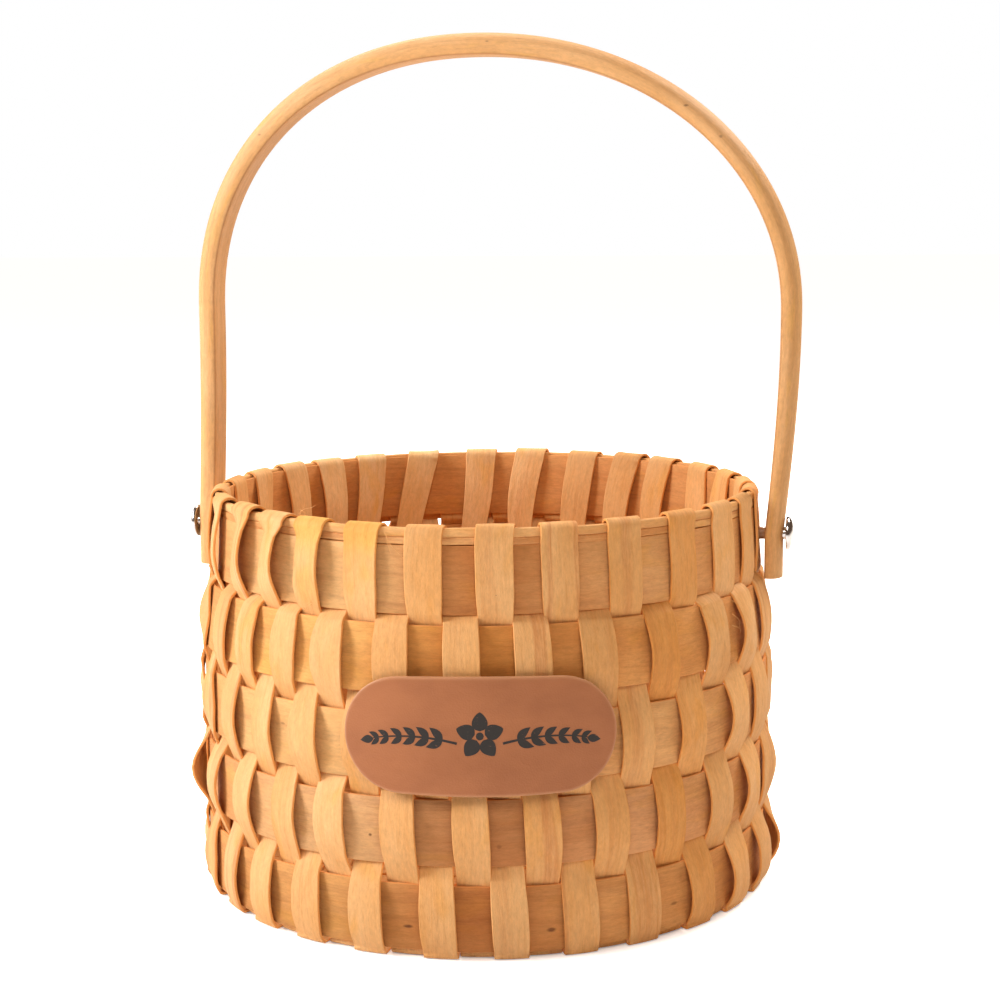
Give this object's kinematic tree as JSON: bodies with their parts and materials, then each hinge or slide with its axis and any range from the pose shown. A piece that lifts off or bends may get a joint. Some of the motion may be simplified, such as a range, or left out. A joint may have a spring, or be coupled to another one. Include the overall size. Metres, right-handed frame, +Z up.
{
  "type": "flower basket",
  "caption": "Round basket woven from flat chip-wood strips, with a folded rim, a bentwood handle that swings on two bolts, and an oval leather label.",
  "frame": {"origin": "centre of the basket's underside, on the surface that it stands on", "axes": "+Z up, X along the handle's pivot line, the label on the -Y side and turned a little towards +X"},
  "size_m": [0.2045, 0.1933, 0.2734],
  "materials": {
    "chip_wood": "bare sliced softwood strip, pale gold, faint long grain",
    "band_wood": "bare sliced softwood band, a little darker and pinker, faint grain",
    "bent_wood": "sanded steam-bent wood, satin, long grain",
    "bright_metal": "bright plated steel",
    "leather": "smooth brown leather, soft sheen"
  },
  "bodies": {
    "basket": {"strip_x_01": "chip_wood", "strip_x_02": "chip_wood", "strip_x_03": "chip_wood", "strip_x_04": "chip_wood", "strip_x_05": "chip_wood", "strip_x_06": "chip_wood", "strip_x_07": "chip_wood", "strip_x_08": "chip_wood", "strip_x_09": "chip_wood", "strip_x_10": "chip_wood", "strip_x_11": "chip_wood", "strip_x_12": "chip_wood", "strip_x_13": "chip_wood", "strip_x_14": "chip_wood", "strip_y_01": "chip_wood", "strip_y_02": "chip_wood", "strip_y_03": "chip_wood", "strip_y_04": "chip_wood", "strip_y_05": "chip_wood", "strip_y_06": "chip_wood", "strip_y_07": "chip_wood", "strip_y_08": "chip_wood", "strip_y_09": "chip_wood", "strip_y_10": "chip_wood", "strip_y_11": "chip_wood", "strip_y_12": "chip_wood", "strip_y_13": "chip_wood", "strip_y_14": "chip_wood", "band_row_1": "band_wood", "band_row_2": "band_wood", "band_row_3": "band_wood", "band_row_4": "band_wood", "band_row_5": "band_wood", "rim_band_inner": "band_wood", "rim_reed_lower": "chip_wood", "rim_reed_upper": "chip_wood", "bolt_left": "bright_metal", "bolt_right": "bright_metal", "washer_left": "bright_metal", "washer_right": "bright_metal", "nut_left": "bright_metal", "nut_right": "bright_metal", "label": "leather"},
    "handle": {"handle": "bent_wood"}
  },
  "joints": [
    {"name": "handle_swing", "type": "hinge", "parent": "basket", "child": "handle", "pos_m": [0, 0, 0.1135], "axis": [1, 0, 0], "range_deg": [-120, 120]}
  ]
}
